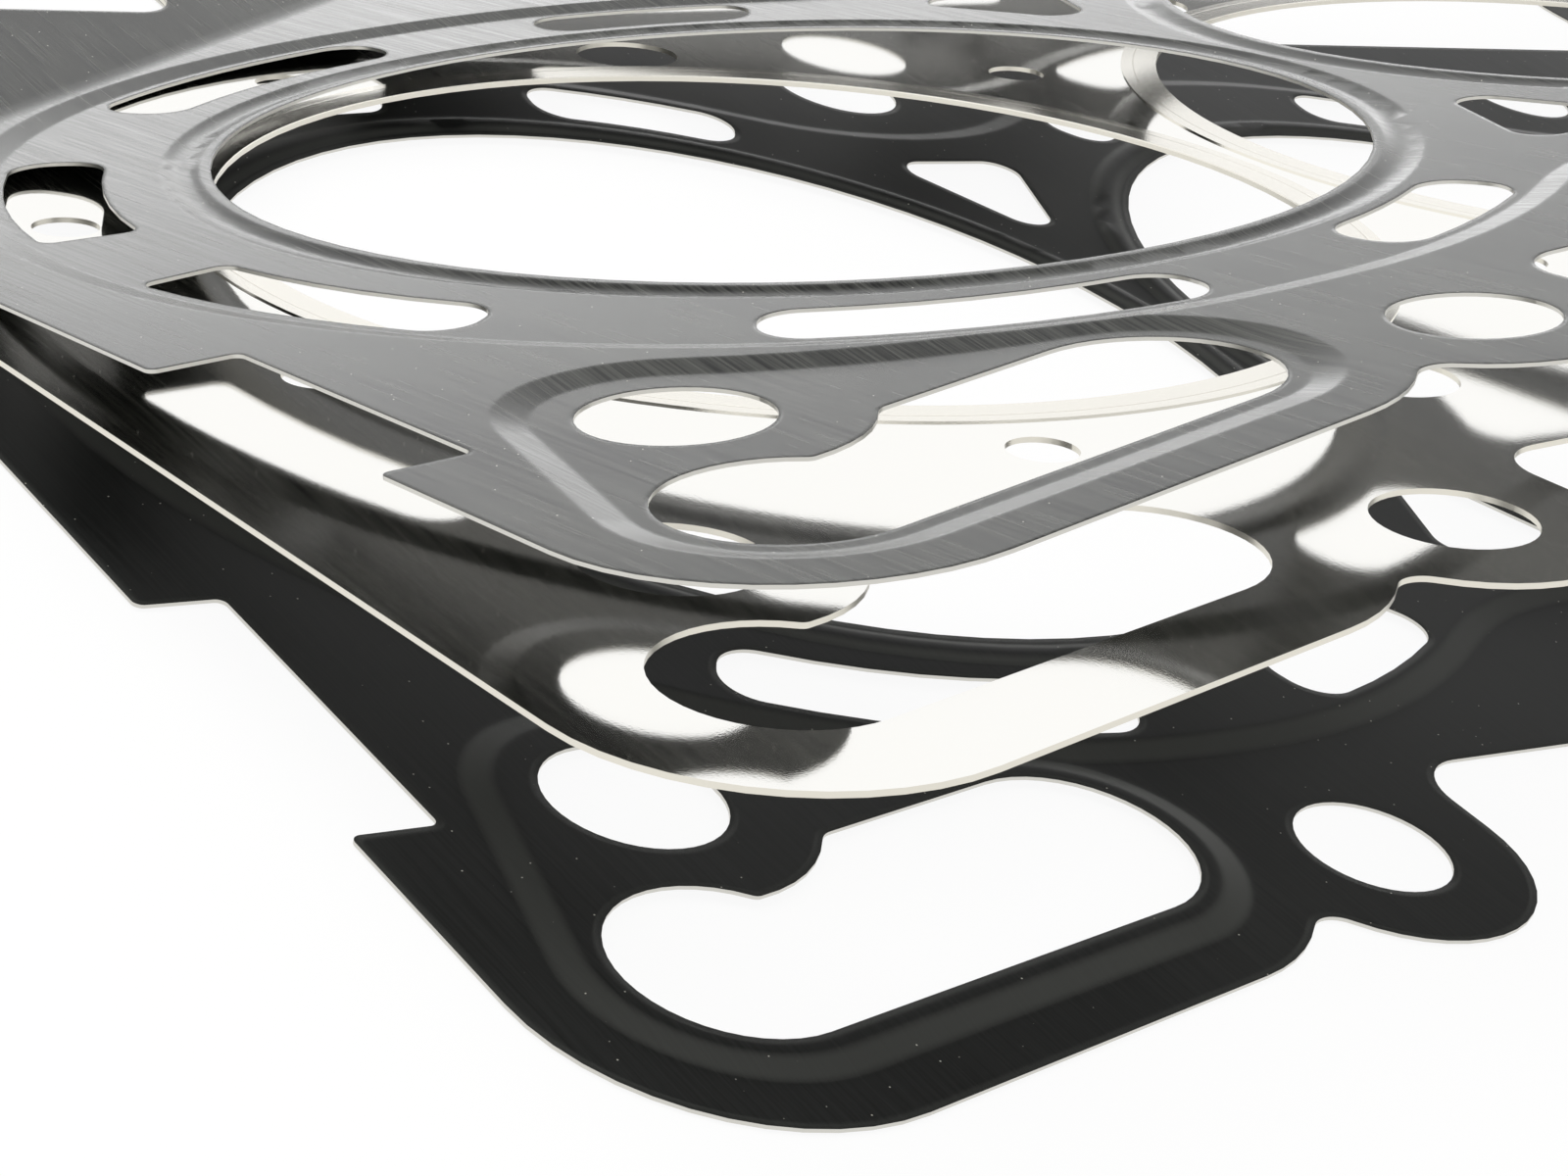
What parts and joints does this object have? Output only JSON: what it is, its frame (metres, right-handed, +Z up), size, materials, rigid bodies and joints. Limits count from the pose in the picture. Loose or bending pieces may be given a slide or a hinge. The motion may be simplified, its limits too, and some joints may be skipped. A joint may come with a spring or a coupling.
{
  "type": "cylinder head gasket",
  "caption": "Flat multi-layer steel gasket with large round bores, water slots, an oil port and bolt ears, its layers fanned open from one corner.",
  "frame": {"origin": "axis of the middle bore, on the surface the gasket lies on", "axes": "+X along the row of bores, away from the joined corner; +Z up, square to the bottom layer; -Y towards the side with the oil port"},
  "size_m": [0.3324, 0.1853, 0.0739],
  "materials": {
    "coated_spring_steel": "thin dark grey rubber coating over rolled spring steel, satin",
    "bright_stainless": "bright rolled stainless steel, near mirror",
    "eyelet_steel": "zinc-plated mild steel"
  },
  "bodies": {
    "root": {"bottom_layer": "coated_spring_steel", "middle_layer": "bright_stainless", "top_layer": "coated_spring_steel", "stopper_ring_1": "bright_stainless", "stopper_ring_2": "bright_stainless", "stopper_ring_3": "bright_stainless", "eyelet_1": "eyelet_steel", "eyelet_2": "eyelet_steel", "eyelet_3": "eyelet_steel"}
  },
  "joints": []
}
